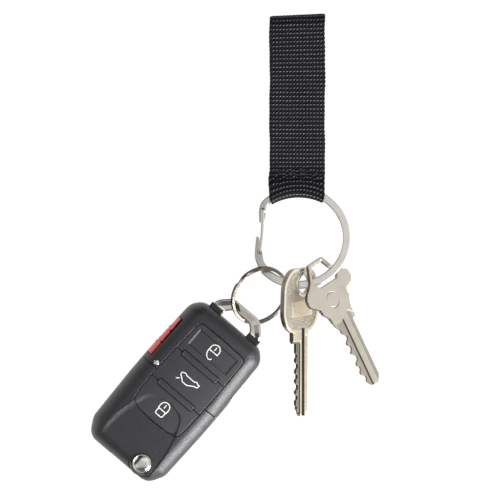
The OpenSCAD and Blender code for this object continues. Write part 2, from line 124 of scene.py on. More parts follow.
def nets(field, low, high, step):
    """Closed quad mesh of the solid where field is below 0, by surface nets."""
    low = np.array(low, float)
    n = np.ceil((np.array(high) - low) / step).astype(int) + 1
    axes = [low[k] + step * np.arange(n[k]) for k in range(3)]
    f = np.array(np.broadcast_to(field(*np.meshgrid(*axes, indexing="ij", sparse=True)), n),
                 np.float32)
    inside = f < 0
    total = np.zeros(n - 1, np.uint8)
    for i, j, k in np.ndindex(2, 2, 2):
        total += inside[i:n[0] - 1 + i, j:n[1] - 1 + j, k:n[2] - 1 + k]
    live = np.argwhere((total > 0) & (total < 8))
    index = np.full(n - 1, -1, np.int64)
    index[tuple(live.T)] = np.arange(len(live))
    spot, hits = np.zeros((len(live), 3)), np.zeros(len(live))
    quads = []
    for axis in range(3):
        o0, o1 = (axis + 1) % 3, (axis + 2) % 3
        for u, v in np.ndindex(2, 2):
            off = np.zeros(3, int)
            off[o0], off[o1] = u, v
            p = live + off
            q = p.copy()
            q[:, axis] += 1
            fp, fq = f[tuple(p.T)], f[tuple(q.T)]
            cut = (fp < 0) != (fq < 0)
            at = np.tile(off.astype(float), (int(cut.sum()), 1))
            at[:, axis] += fp[cut] / (fp[cut] - fq[cut])
            spot[cut] += at
            hits[cut] += 1
        first, second = [slice(None)] * 3, [slice(None)] * 3
        first[axis], second[axis] = slice(0, -1), slice(1, None)
        here = inside[tuple(first)]
        e = np.argwhere(here != inside[tuple(second)])
        e = e[(e[:, o0] > 0) & (e[:, o1] > 0) & (e[:, o0] < n[o0] - 1) & (e[:, o1] < n[o1] - 1)]
        ring = []
        for du, dv in ((1, 1), (0, 1), (0, 0), (1, 0)):
            c = e.copy()
            c[:, o0] -= du
            c[:, o1] -= dv
            ring.append(index[tuple(c.T)])
        quad = np.stack(ring, 1)
        outward = here[tuple(e.T)]
        quad[~outward] = quad[~outward][:, ::-1]
        quads.append(quad)
    return low + step * (live + spot / hits[:, None]), np.concatenate(quads)


def solid(name, field, low, high, step, matrix, material):
    points, faces = nets(field, low, high, step)
    return add_mesh(name, points, faces, matrix, material)


def squared_distance(start, end, x, y):
    """Square of the distance in the plane from a straight stretch."""
    (x0, y0), dx, dy = start, end[0] - start[0], end[1] - start[1]
    t = np.clip(((x - x0) * dx + (y - y0) * dy) / (dx * dx + dy * dy), 0, 1)
    return (x - x0 - t * dx) ** 2 + (y - y0 - t * dy) ** 2


def outline(points, x, y):
    """Distance in the plane from a closed outline, negative inside it."""
    best, odd = 1e9, False
    for (x0, y0), (x1, y1) in zip(points, points[1:] + points[:1]):
        best = minimum(best, squared_distance((x0, y0), (x1, y1), x, y))
        if y0 != y1:
            odd = odd ^ (((y0 > y) != (y1 > y)) & (x < (x1 - x0) * (y - y0) / (y1 - y0) + x0))
    return np.where(odd, -1.0, 1.0) * np.sqrt(best)


def stroke(points, x, y):
    """Distance in the plane from an open line."""
    best = 1e9
    for start, end in zip(points[:-1], points[1:]):
        best = minimum(best, squared_distance(start, end, x, y))
    return np.sqrt(best)


def soften(points, radius, steps=4):
    """An outline with its corners rounded."""
    points, out = np.array(points, float), []
    for before, p, after in zip(np.roll(points, 1, 0), points, np.roll(points, -1, 0)):
        a, b = before - p, after - p
        la, lb = np.linalg.norm(a), np.linalg.norm(b)
        reach = min(radius, 0.48 * la, 0.48 * lb)
        start, end = p + a / la * reach, p + b / lb * reach
        for k in range(steps + 1):
            t = k / steps
            out.append(tuple((1 - t) ** 2 * start + 2 * t * (1 - t) * p + t * t * end))
    return out


def circle(radius, count):
    """Points round a circle, without the last one."""
    return [(radius * math.cos(t), radius * math.sin(t))
            for t in np.linspace(0, 2 * math.pi, count, endpoint=False)]


def cut_corners(line):
    """A closed line with its corners cut off twice, which rounds them."""
    for _ in range(2):
        after = np.roll(line, -1, 0)
        line = np.stack([0.75 * line + 0.25 * after, 0.25 * line + 0.75 * after], 1).reshape(
            -1, line.shape[1])
    return line


def rounded(u, v, r):
    """Both solids at once, with the edge between them rounded."""
    return (minimum(maximum(u, v) + r, 0)
            + hypot(maximum(u + r, 0), maximum(v + r, 0)) - r)


def chamfered(u, v, c):
    """Both solids at once, with the edge between them cut off at c."""
    return maximum(maximum(u, v), (u + v + c) * math.sqrt(0.5))


def ease(t):
    t = np.clip(t, 0, 1)
    return t * t * (3 - 2 * t)


def slab(x, y, low, high):
    """Distance from the rectangle between two corners, negative inside it."""
    return maximum(abs(x - (low[0] + high[0]) / 2) - (high[0] - low[0]) / 2,
                   abs(y - (low[1] + high[1]) / 2) - (high[1] - low[1]) / 2)


def unit(vectors):
    return vectors / np.linalg.norm(vectors, axis=1)[:, None]


def directions(line):
    """Directions along a closed line, at its points."""
    return np.roll(line, -1, 0) - np.roll(line, 1, 0)


def sweep(path, section, closed, spin=(0, 0, 1)):
    """A section carried along a path. Its first axis starts along spin."""
    path = np.asarray(path, float)
    n = len(path)
    along = unit(directions(path) if closed else np.gradient(path, axis=0))
    side = np.zeros_like(path)
    now = np.array(spin, float)
    for i in range(n):
        now = now - along[i] * (now @ along[i])
        now /= np.linalg.norm(now)
        side[i] = now
    up = np.cross(along, side)
    sec = np.asarray(section, float)
    points = path[:, None] + side[:, None] * sec[:, :1] + up[:, None] * sec[:, 1:]
    m = len(sec)
    faces = []
    for i in range(n if closed else n - 1):
        j = (i + 1) % n
        for k in range(m):
            w = (k + 1) % m
            faces.append((i * m + k, i * m + w, j * m + w, j * m + k))
    if not closed:
        faces += [tuple(range(m))[::-1], tuple((n - 1) * m + k for k in range(m))]
    return points.reshape(-1, 3), faces


# ---------- Materials ----------
def feed(tree, node, inputs):
    """Sets inputs of a node, each to a value or to the output of another node."""
    for name, value in inputs.items():
        if isinstance(value, bpy.types.NodeSocket):
            tree.links.new(value, node.inputs[name])
        else:
            node.inputs[name].default_value = value
    return node


def new_node(tree, kind, inputs):
    return feed(tree, tree.nodes.new("ShaderNode" + kind), inputs)


def tree_of(name):
    m = bpy.data.materials.new(name)
    m.use_nodes = True
    m.node_tree.nodes.clear()
    shader = new_node(m.node_tree, "BsdfPrincipled", {})
    new_node(m.node_tree, "OutputMaterial", {"Surface": shader.outputs[0]})
    return m, m.node_tree, shader


def noise(tree, scale, detail=4.0, stretch=None):
    """A noise pattern, scale in patches per metre, stretched along an axis."""
    where = new_node(tree, "TexCoord", {}).outputs["Object"]
    if stretch is not None:
        where = new_node(tree, "Mapping", {
            "Vector": where, "Scale": stretch[0], "Rotation": stretch[1]}).outputs[0]
    return new_node(tree, "TexNoise", {
        "Scale": scale, "Detail": detail, "Vector": where}).outputs["Fac"]


def rgba(colour):
    """A grey level or a colour, with its alpha."""
    return (colour, colour, colour, 1) if isinstance(colour, float) else (*colour, 1)


def ramp(tree, value, stops):
    """Colours at positions along a value from 0 to 1."""
    node = new_node(tree, "ValToRGB", {"Fac": value})
    ends = node.color_ramp.elements
    for end, (position, colour) in ((ends[0], stops[0]), (ends[1], stops[-1])):
        end.position, end.color = position, rgba(colour)
    for position, colour in stops[1:-1]:
        ends.new(position).color = rgba(colour)
    return node.outputs[0]


def bump(tree, height, distance):
    return new_node(tree, "Bump", {
        "Strength": 1.0, "Distance": distance, "Height": height}).outputs[0]


def mixed(tree, blend, amount, first, second):
    """Two colours mixed or multiplied."""
    mix = new_node(tree, "Mix", {})
    mix.data_type = "RGBA"
    mix.blend_type = blend
    return feed(tree, mix, {"Factor": amount, "A": first, "B": second}).outputs["Result"]


def tinted(tree, colour, attribute, tint):
    """A colour that turns to the tint where a vertex attribute is 1."""
    where = new_node(tree, "Attribute", {})
    where.attribute_name = attribute
    return mixed(tree, "MIX", where.outputs["Fac"], colour, rgba(tint))


def plain(name, dark, light, rough, metal=0.0, grain=2500, depth=0.00002, spread=0.06,
          stretch=None, specular=0.5, painted_shade=None):
    """Colour between dark and light, fine grain in the surface and uneven gloss.

    A painted shade colour shows where the piece's own groove attribute says so."""
    m, tree, shader = tree_of(name)
    colour = ramp(tree, noise(tree, 160, 5.0), [(0.3, dark), (0.7, light)])
    # Painted shade: the colour darkens towards the given shade colour where the groove attribute
    # is high.
    if painted_shade is not None:
        colour = tinted(tree, colour, "groove", painted_shade)
    fine = noise(tree, grain, 3.0, stretch)
    feed(tree, shader, {
        "Metallic": metal, "Specular IOR Level": specular, "Base Color": colour,
        "Roughness": ramp(tree, fine, [(0.25, rough - spread), (0.75, rough + spread)]),
        "Normal": bump(tree, fine, depth)})
    return m


PLASTIC = plain("moulded_plastic", (0.007, 0.007, 0.011), (0.010, 0.010, 0.015), 0.37,
                grain=3600, depth=0.00012, spread=0.12, specular=0.88)
RUBBER = plain("button_rubber", (0.012, 0.012, 0.016), (0.016, 0.016, 0.021), 0.48,
               grain=3000, depth=0.00012, spread=0.07, specular=0.95)
INK = plain("symbol_ink", 0.92, 0.98, 0.5, grain=3000)
ALARM = plain("alarm_rubber", (0.90, 0.11, 0.095), (0.96, 0.16, 0.14), 0.45,
              grain=2600, depth=0.00004)
# The ring steel, the nickel and the chrome each end with a painted shade colour, shown where a
# piece's groove attribute says.
RING_STEEL = plain(
    "brushed_steel", (0.91, 0.885, 0.82), (0.97, 0.945, 0.88), 0.33, metal=1.0, grain=900,
    depth=0.000006, stretch=((1, 9, 1), (0, 0, 0.4)), painted_shade=(0.20, 0.19, 0.175))
WIRE_STEEL = plain("wire_steel", (0.62, 0.59, 0.54), (0.72, 0.685, 0.64), 0.20, metal=1.0,
                   grain=1200, depth=0.000005)
NICKEL = plain("bright_nickel", (0.66, 0.605, 0.54), (0.76, 0.705, 0.64), 0.17, metal=1.0,
               grain=1100, depth=0.000005, painted_shade=(0.07, 0.06, 0.05))
CHROME = plain("chrome", (0.70, 0.66, 0.61), (0.80, 0.77, 0.73), 0.09, metal=1.0,
               grain=900, depth=0.000003, spread=0.03, painted_shade=(0.16, 0.12, 0.09))
DARK_METAL = plain("hub_metal", 0.14, 0.2, 0.4, metal=1.0)
SPRING = plain("spring_steel", 0.3, 0.42, 0.3, metal=1.0)
BLADE = plain("blade_steel", (0.58, 0.57, 0.55), (0.68, 0.67, 0.65), 0.28, metal=1.0,
              grain=1000, stretch=((9, 1, 1), (0, 0, 0.86)), depth=0.000006)
COLLAR = plain("collar_plastic", 0.012, 0.018, 0.22, grain=2000,
               depth=0.00001)
BOARD = plain("circuit_board", (0.02, 0.11, 0.05), (0.03, 0.16, 0.07), 0.4, grain=1500)
CHIP = plain("chip_plastic", 0.02, 0.03, 0.5)
BRASS = plain("contact_brass", (0.62, 0.45, 0.18), (0.75, 0.58, 0.26), 0.3, metal=1.0)
CELL = plain("cell_steel", 0.5, 0.62, 0.25, metal=1.0)
THREAD = plain("thread", 0.018, 0.035, 0.7, grain=3500, depth=0.00008)
LENS = plain("lens", (0.62, 0.63, 0.66), (0.78, 0.79, 0.82), 0.12, metal=0.9,
             grain=1500, depth=0.000004)


def key_material(name, rough, lean, tone):
    """Plated key: warm nickel, with brass showing where the cuts went through the plating."""
    m, tree, shader = tree_of(name)
    plated = ramp(tree, noise(tree, 210, 6.0), [
        (p, tuple(k * c for c in tone)) for p, k in ((0.25, 0.92), (0.5, 1.0), (0.8, 1.07))])
    worn = tinted(tree, plated, "cut", (0.27, 0.19, 0.11))
    scratches = noise(tree, 700, 5.0, ((1, 14, 1), (0, 0, lean)))
    # The groove attribute's dark tint is painted shade in the key's grooves and on its walls.
    feed(tree, shader, {
        "Metallic": 1.0, "Base Color": tinted(tree, worn, "groove", (0.10, 0.085, 0.07)),
        "Roughness": ramp(tree, scratches, [(0.2, rough - 0.08), (0.8, rough + 0.12)]),
        "Normal": bump(tree, scratches, 0.000010)})
    return m


LEFT_METAL = key_material("left_key_nickel", 0.26, 0.2, (0.80, 0.73, 0.60))
RIGHT_METAL = key_material("right_key_nickel", 0.31, 0.7, (0.66, 0.605, 0.525))

# The weave's pattern: rows run across the strap, columns along it, in millimetres
ROW, COLUMN = 1.65, 1.3625


def webbing_material():
    """Black nylon webbing: painted highlights on the floats of yarn and painted shade in the dark
    weave between them, as the crown attribute says.
    """
    m, tree, shader = tree_of("webbing_nylon")
    where = new_node(tree, "Attribute", {})
    where.attribute_name = "crown"
    # Painted shade and highlight: near black in the weave's grooves, near white on the tops of the
    # floats.
    shade = ramp(tree, where.outputs["Fac"], [
        (0.0, 0.001), (0.28, (0.005, 0.005, 0.006)), (0.56, (0.036, 0.036, 0.046)),
        (0.76, (0.050, 0.050, 0.062)), (0.90, (0.34, 0.34, 0.35)), (1.0, (0.66, 0.66, 0.66))])
    fuzz = ramp(tree, noise(tree, 900, 5.0), [(0.3, 0.55), (0.7, 1.25)])
    fibre = noise(tree, 5200, 2.0)
    feed(tree, shader, {
        "Specular IOR Level": 0.12, "Sheen Weight": 0.02,
        "Base Color": mixed(tree, "MULTIPLY", 0.7, shade, fuzz),
        "Roughness": ramp(tree, fibre, [(0.2, 0.45), (0.8, 0.75)]),
        "Normal": bump(tree, fibre, 0.00010)})
    return m


WEBBING = webbing_material()


def finish_piece(obj, body, node):
    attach(obj, body)
    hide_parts(node)
    return obj


def local_points(obj, matrix):
    """The vertices of a piece in millimetres in its own frame, as x, y and z rows."""
    points = np.array([v.co for v in obj.data.vertices]) / MM
    m = np.array(matrix)
    return (points - m[:3, 3]).dot(m[:3, :3]).T


def float_attribute(obj, name, values):
    attribute = obj.data.attributes.new(name, "FLOAT", "POINT")
    attribute.data.foreach_set("value", np.asarray(values, np.float32))


# ---------- Webbing ----------
WEB_X = JOINTS["strap_bend"]["pos_m"][0] / MM
WEB_HALF = 10.9
WEB_T = 1.3
FOLD_AT, FOLD_R = (88.8, 4.4), 3.75
FREE_Y = 33.4  # where the sewn end stops and the loop starts
# The front layer of the sewn end in the ring's plane; the back layer mirrors it
SEWN = ((18.6, 1.7), (20.4, 1.7), (22.2, 1.68), (23.7, 1.2), (25.2, 0.72), (27.0, 0.66))
TUNNEL_ARC, TUNNEL_LOW = 21.6, 16.5
RING_IN = 17.5


def ring_plane(v, w):
    """(y, z) of a point of the strap's side view that is given in the ring's plane."""
    a = math.radians(RING_TILT)
    return (RING_AT[1] + v * math.cos(a) + w * math.sin(a),
            RING_AT[2] - v * math.sin(a) + w * math.cos(a))


def centre_line():
    """The strap's closed middle line in (y, z), from the ring up the front and down the back."""
    front = [ring_plane(v, w) for v, w in SEWN]
    for t in np.arange(12) / 12:
        front.append((FREE_Y + t * (FOLD_AT[0] - FREE_Y),
                      2.22 + t * (8.15 - 2.22) + 0.25 * math.sin(math.pi * t)))
    fold = [(FOLD_AT[0] + FOLD_R * math.sin(t), FOLD_AT[1] + FOLD_R * math.cos(t))
            for t in np.linspace(0, math.pi, 17)]
    back = [(FOLD_AT[0] + t * (FREE_Y - FOLD_AT[0]), 0.67 + t * (0.87 - 0.67))
            for t in np.linspace(0.08, 1, 12)]
    back += [ring_plane(v, -w) for v, w in SEWN[::-1]]
    turn = [ring_plane(18.55 - 1.7 * math.sin(t), -1.7 * math.cos(t))
            for t in np.linspace(0.2, math.pi - 0.2, 9)]
    return cut_corners(np.array(front + fold + back + turn))


def even(line, step):
    """Points at one spacing along a closed line, and the line's length."""
    loop = np.vstack([line, line[:1]])
    run = np.concatenate([[0], np.cumsum(np.linalg.norm(np.diff(loop, axis=0), axis=1))])
    count = int(round(run[-1] / step))
    at = np.linspace(0, run[-1], count, endpoint=False)
    return np.stack([np.interp(at, run, loop[:, k]) for k in (0, 1)], 1), run[-1]


def floats(s, x, length, width, lean=32):
    """Height from 0 to 1 of slanting yarn floats, on two lattices half a step apart."""
    best = 0
    lean = math.radians(lean)
    for ds in (0, 0.5):
        ps = (s / ROW + ds + 0.5) % 1 - 0.5
        px = (x / COLUMN + ds + 0.5) % 1 - 0.5
        for ks, kx in np.ndindex(3, 3):
            a, b = (ps + 1 - ks) * ROW, (px + 1 - kx) * COLUMN
            p = b * math.cos(lean) + a * math.sin(lean)
            q = a * math.cos(lean) - b * math.sin(lean)
            best = maximum(best, 1 - (p / length) ** 2 - (q / width) ** 2)
    return np.sqrt(np.clip(best, 0, 1))


def make_webbing():
    line, total = even(centre_line(), 0.24)
    rows = round(total / ROW)
    s = np.arange(len(line)) / len(line) * rows * ROW
    along = unit(directions(line))
    out = np.stack([-along[:, 1], along[:, 0]], 1)
    if out[len(out) // 8][1] < 0:
        out = -out
    a = math.radians(RING_TILT)
    rel = line - np.array([RING_AT[1], RING_AT[2]])
    v = rel[:, 0] * math.cos(a) - rel[:, 1] * math.sin(a)
    w = rel[:, 0] * math.sin(a) + rel[:, 1] * math.cos(a)
    # S runs along the strap, K from side to side and back, V and W are the ring's own plane
    outer, inner = np.linspace(-1, 1, 112), np.linspace(1, -1, 26)[1:-1]
    S, K = np.meshgrid(s, np.concatenate([outer, inner]), indexing="ij")
    outside = np.concatenate([np.ones(len(outer)), -np.ones(len(inner))])
    outside, V, W = (np.broadcast_to(p, S.shape) for p in (outside, v[:, None], w[:, None]))
    low = ease((28.5 - V) / 10.0)
    # Scalloped selvedges, a slight bulge at the left of the sewn stretch, sides drawn in below
    scallop = 0.26 * abs(np.sin(math.pi * S / ROW))
    wander = 0.12 * np.sin(V * 0.21 + 0.7) + 0.07 * np.sin(V * 0.53)
    bulge = 0.45 * np.exp(-((V - 24.6) / 2.2) ** 2) * (K < 0)
    half = WEB_HALF + 0.05 - 1.1 * ease((19.8 - V) / 3.5) + scallop + bulge
    x = K * half + 0.03 + wander * (1 - 0.3 * low)
    edge = np.clip((abs(K) * half - (half - 0.75)) / 0.75, 0, 1)
    thick = WEB_T / 2 * np.sqrt(np.clip(1 - edge ** 2, 0.0, 1)) + 0.02
    # The lower edge follows the ring's arc, and the fabric is pinched where it turns round it
    xr = x + WEB_X - RING_AT[0]
    v_low = -TUNNEL_ARC + TUNNEL_LOW + np.sqrt(TUNNEL_ARC ** 2 - minimum(xr ** 2, 140))
    room = np.sqrt(RING_IN ** 2 - minimum(xr ** 2, 140)) - v_low
    turn = ease((18.7 - V) / 1.2)
    squeeze = 1 + (np.clip(room / WEB_T, 0.3, 1) - 1) * turn
    shift = (v_low + np.clip(room, 0.35, WEB_T) / 2 - TUNNEL_LOW - WEB_T / 2) * ease(
        (27.5 - V) / 9.5)
    # Rows of yarn; they are uneven where the layers are sewn together
    sewn = np.exp(-((V - 25.6) / 2.6) ** 2)
    wobble = sewn * (0.35 * np.sin(x * 1.3 + V) + 0.25 * np.sin(x * 2.9 + 1.0))
    slant = 0.012 * (x + WEB_HALF) * ease((V - 60) / 25) * ROW
    sp = S + wobble + slant
    height = floats(sp, x, 0.92, 0.40)
    rib = 0.5 + 0.5 * np.cos(2 * math.pi * sp / ROW)
    relief = 0.55 * height + 0.45 * rib
    amount = np.where(outside > 0, 0.40, 0.06) * (1 - 0.5 * edge)
    groove = 0.16 * np.exp(-((V - 20.1) / 0.5) ** 2) + 0.12 * np.exp(-((V - 24.2) / 0.45) ** 2)
    off = thick - amount * (1 - relief) - groove * (outside > 0) * (1 - edge)
    off = outside * off * squeeze
    sag = 0.10 * np.sin(x * 0.33 + V * 0.11) * ease((V - 32) / 12) * ease(
        (84 - V) / 12) * (W > -4)
    y = line[:, :1] + out[:, :1] * off + shift * math.cos(a)
    z = line[:, 1:] + out[:, 1:] * off - shift * math.sin(a) + sag
    y = y + (0.75 + 0.05 * x) * ease((y - 60) / 30)
    z = maximum(z, 0.02)
    points = np.stack([x + WEB_X, y, z], -1).reshape(-1, 3)
    n, m = S.shape
    i, j = np.meshgrid(np.arange(n), np.arange(m), indexing="ij")
    i2, j2 = (i + 1) % n, (j + 1) % m
    faces = np.stack([i * m + j, i2 * m + j, i2 * m + j2, i * m + j2], -1).reshape(-1, 4)
    obj = add_mesh("webbing", points, faces, Matrix.Identity(4), WEBBING)
    # Painted shade and highlight: the crown is high on the yarn floats and ribs, low in the
    # grooves and towards the edges, and the webbing's colour follows it.
    crown = np.clip(0.62 * relief + 0.38 * np.clip(
        floats(sp, x, 0.50, 0.17, 6) * (rib > 0.7), 0, 1) - 0.15 * edge, 0, 1)
    float_attribute(obj, "crown", crown.ravel())
    return obj, total


webbing, web_length = make_webbing()
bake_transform(webbing)
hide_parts("webbing_loop", "webbing_end")


def make_stitches():
    """Two rows of lock stitches on the front and the back of the sewn stretch."""
    points, faces = [], []
    for side in (1, -1):
        for row, v in enumerate((25.5, 27.0)):
            for i in range(10):
                x0 = -9.3 + i * 1.98 + row * 0.5
                w = side * (0.66 + WEB_T / 2)
                path = [(WEB_X + x0 + 1.35 * t,
                         *ring_plane(v + 0.06 * math.sin(i * 2.1),
                                     w + side * (0.16 * math.sin(math.pi * t) - 0.12)))
                        for t in np.linspace(0, 1, 7)]
                p, f = sweep(path, circle(0.2, 8), False)
                faces += [tuple(q + len(points) for q in g) for g in f]
                points += p.tolist()
    return add_mesh("lock_stitches", points, faces, Matrix.Identity(4), THREAD)


stitches = make_stitches()
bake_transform(stitches)
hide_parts("webbing_stitches")


# ---------- Gated ring ----------
RING_OUT, RING_INNER, RING_T = 20.8, 17.6, 1.5
NOSE = soften([(-10.6, 18.1), (-13.6, 16), (-15.3, 14.1), (-16.1, 11), (-15.9, 6), (-14.1, 5.6),
               (-13.2, 8.2), (-13.1, 12.6), (-10.6, 14.9)], 1.4)
ARM = soften([(-17.1, 0.4), (-15.9, 0.2), (-15.2, -4), (-14.2, -7.6), (-14, -9.8), (-10.6, -14.2),
              (-10.6, -17.7), (-14.5, -14.8), (-16.6, -11.4), (-17.7, -8.4), (-17.7, -5.6)], 1.4)
GATE_PIVOT, GATE_LATCH, GATE_D = (-15.6, -5.8), (-14.5, 10.9), 1.2


def ring_field(x, y, z):
    rho = hypot(x, y)
    band = abs(rho - (RING_OUT + RING_INNER) / 2) - (RING_OUT - RING_INNER) / 2
    gap = slab(x, y, (-30, -14.2), (-11.8, 16.8))
    flat = maximum(band, -gap)
    flat = minimum(flat, minimum(outline(NOSE, x, y), outline(ARM, x, y)))
    for (u, v), r in ((GATE_PIVOT, GATE_D / 2 + 0.08), (GATE_LATCH, GATE_D / 2 + 0.15)):
        flat = maximum(flat, r - hypot(x - u, y - v))
    notch = slab(x, y, (GATE_LATCH[0], GATE_LATCH[1] - GATE_D / 2 - 0.25),
                 (GATE_LATCH[0] + 5, GATE_LATCH[1] + 0.15))
    flat = maximum(flat, -notch)
    return chamfered(flat, abs(z) - RING_T / 2, 0.32)


ring_body = solid("ring_body", ring_field, (-21.3, -21.3, -1.2), (21.3, 21.3, 1.2), 0.16, RING,
                  RING_STEEL)
finish_piece(ring_body, "ring", "ring_frame")
ring_x, ring_y, ring_z = local_points(ring_body, RING)
# Painted shade: the ring darkens towards its left side and on the chamfers of its inner edge.
inner_edge = (hypot(ring_x, ring_y) < RING_INNER + 0.45) & (abs(ring_z) > 0.3)
float_attribute(ring_body, "groove", maximum(0.42 * ease((-ring_x - 5) / 11),
                                             0.30 * inner_edge))


def make_gate():
    """The gate's bent wire: two legs over and under the ring, with an eye at each end."""
    off, line = 1.5, []
    for (x0, y0), (x1, y1), z in ((GATE_PIVOT, GATE_LATCH, off), (GATE_LATCH, GATE_PIVOT, -off)):
        line += [(x0, y0, z * t) for t in np.linspace(-1, 1, 9)]
        line += [(x0 + (x1 - x0) * t + 0.35 * math.sin(math.pi * t), y0 + (y1 - y0) * t, z)
                 for t in np.linspace(0.06, 0.94, 16)]
    points, faces = sweep(cut_corners(np.array(line)), circle(GATE_D / 2, 16), True, (1, 0, 0))
    return add_mesh("gate_wire_bent", points, faces, RING, WIRE_STEEL)


finish_piece(make_gate(), "gate", "gate_wire")


# ---------- Split ring ----------
def make_split_ring():
    """One flattened wire in two turns that lie on each other and cross in one short step."""
    radius, wide, high = 11.9, 1.3, 0.75
    lift = high / 2 + 0.02
    turn = np.linspace(-349, 349, 420)
    path = np.stack([radius * np.cos(np.radians(turn)), radius * np.sin(np.radians(turn)),
                     lift * (2 * ease((turn + 9) / 18) - 1)], 1)
    u, w, bevel = wide / 2, high / 2, 0.16
    section = [(-u, bevel - w), (bevel - u, -w), (u - bevel, -w), (u, bevel - w),
               (u, w - bevel), (u - bevel, w), (bevel - u, w), (-u, w - bevel)]
    side = unit(path * np.array([1, 1, 0]))
    up = np.cross(side, unit(np.gradient(path, axis=0)))
    n, m = len(path), len(section)
    taper = np.ones(n)
    taper[:3], taper[-3:] = (0.55, 0.85, 0.97), (0.97, 0.85, 0.55)
    sec = np.array(section) * taper[:, None, None]
    points = path[:, None] + side[:, None] * sec[..., :1] + up[:, None] * sec[..., 1:]
    faces = [(i * m + k, (i + 1) * m + k, (i + 1) * m + (k + 1) % m, i * m + (k + 1) % m)
             for i in range(n - 1) for k in range(m)]
    faces += [tuple(range(m)), tuple((n - 1) * m + k for k in range(m))[::-1]]
    obj = add_mesh("split_ring_wire", points.reshape(-1, 3), faces, SPLIT, NICKEL, smooth=False)
    # Painted shade: the wire darkens on its inner and outer sides as painted dark reflections, and
    # where its two turns lie on each other.
    rho, z = hypot(points[..., 0], points[..., 1]), abs(points[..., 2])
    edge = ease((abs(rho - radius) - wide / 2 + 0.30) / 0.25)
    float_attribute(obj, "groove", maximum(0.85 * edge, z < 0.2).reshape(-1))
    return obj


finish_piece(make_split_ring(), "split_ring", "split_ring")

# ---------- Left key ----------
LEFT_T, LEFT_MID = 2.3, -2.1
LEFT_GROOVE = 1.1
KNURL = 1.15
KEY_STEP = 0.17
LEFT_CUTS = (0.7, 1.2, 0.9, 1.3, 1.0, 0.6)
LEFT_BOW = soften([(-6.4, 6.5), (7, 6.5), (10.6, 1), (11.2, -12), (9.4, -16.5), (5.6, -19.4),
                   (-5.6, -19.4), (-9.4, -16.5), (-11.2, -12), (-10.6, 1)], 4.0, 6)
LEFT_BLADE = [(-5.1, -17), (5.3, -17), (4.1, -21.5), (4.1, -50.3), (2.2, -53.3), (0, -53.3),
              (-2.9, -49.3), (-2.9, -23.5), (-5.1, -23.5)]


def cut_distance(cuts, edge, first, pitch, x, y, half):
    """Inside of the valleys along a blade, whose slopes join their neighbours'."""
    far = 1e9
    for i, deep in enumerate(cuts):
        yc = first - i * pitch
        valley = maximum(x - edge - deep + maximum(abs(y - yc) - 0.6, 0) * 1.15,
                         abs(y - yc) - half - deep / 2)
        far = minimum(far, valley)
    return far


def left_field(x, y, z):
    x = x - LEFT_MID
    bow, blade = outline(LEFT_BOW, x, y), outline(LEFT_BLADE, x, y)
    flat = minimum(bow, blade)
    cuts = cut_distance(LEFT_CUTS, -2.9, -28.5, 4.2, x, y, 1.6)
    flat = maximum(flat, -cuts)
    hole = hypot(x + LEFT_MID, y) - 3.7
    flat = maximum(flat, -hole)
    # Bow: raised rim, crossed knurling inside it and a plain raised panel
    field = ease((-bow - 1.3) / 0.5) * (y > -18.6)
    away = ease((hole - 1.0) / 0.4)
    panel = maximum(abs(x - 0.6) - 6.2, abs(y + 9.6) - 2.9)
    inner = ease(panel / 0.35)
    knurl = 1.0
    for across in (x + y, x - y):
        knurl = knurl * (0.5 + 0.5 * np.cos(2 * math.pi * across / KNURL))
    low = field * away * (0.34 - 0.18 * knurl * inner - 0.20 * (1 - inner))
    # Blade: one deep groove along each face, and a shallow step beside it
    groove = maximum(abs(x - LEFT_GROOVE) - 0.95, y + 17.5)
    low = maximum(low, 0.68 * ease(-groove / 0.28 + 0.3))
    ledge = maximum(abs(x - 2.9) - 0.35, y + 20.5)
    low = maximum(low, 0.28 * ease(-ledge / 0.3 + 0.3))
    milled = maximum(x + 0.5, y + 22.5)
    low = maximum(low, 0.55 * ease(-milled / 0.7))
    top = abs(z) - (LEFT_T / 2 - low)
    return rounded(flat, top, np.where(y > -19.5, 0.30, 0.05))


def make_key(name, field, low, high, matrix, metal, tint, thick, grooves, painted_wall_shade):
    """A key with two attributes: brass in its cuts, and painted shade in its grooves and on its
    walls.

    tint is the cuts' low and high y and highest x. Each groove is x, half width, y and the
    strength of its painted shade."""
    points, faces = nets(field, low, high, KEY_STEP)
    obj = add_mesh(name, points, faces, matrix, metal)
    normals = np.zeros(len(points) * 3, np.float32)
    obj.data.vertices.foreach_get("normal", normals)
    normals = normals.reshape(-1, 3).astype(float) @ np.array(matrix)[:3, :3]
    edge_face = ease((-normals[:, 0] - 0.35) / 0.3) * (abs(normals[:, 2]) < 0.8)
    x, y, z = points.T
    zone = (y < tint[1]) & (y > tint[0]) & (x < tint[2])
    float_attribute(obj, "cut", edge_face * zone)
    # Painted shade: side walls are darkened, and groove floors the more the deeper they lie.
    deep = painted_wall_shade * (abs(normals[:, 2]) < 0.6) * (edge_face * zone < 0.5)
    for at, half, start, painted_shade in grooves:
        deep = maximum(deep, painted_shade * (abs(x - at) < half + 0.25) * (y < start)
                       * ease((thick / 2 - abs(z) - 0.12) / 0.3))
    float_attribute(obj, "groove", deep)
    obj.data.set_sharp_from_angle(angle=math.radians(36))
    return obj


# The left key's painted shade lies in its blade groove and in the hollows of its knurled bow.
left_key = make_key("left_key_plated", left_field, (-14.2, -54.2, -1.7), (10.2, 7.4, 1.7),
                    LEFT, LEFT_METAL, (-52.5, -24, LEFT_MID - 0.4), LEFT_T,
                    [(LEFT_MID + LEFT_GROOVE, 0.95, -17.5, 1.0), (LEFT_MID, 11.0, 7.0, 0.75)], 0.0)
finish_piece(left_key, "left_key", "left_key")

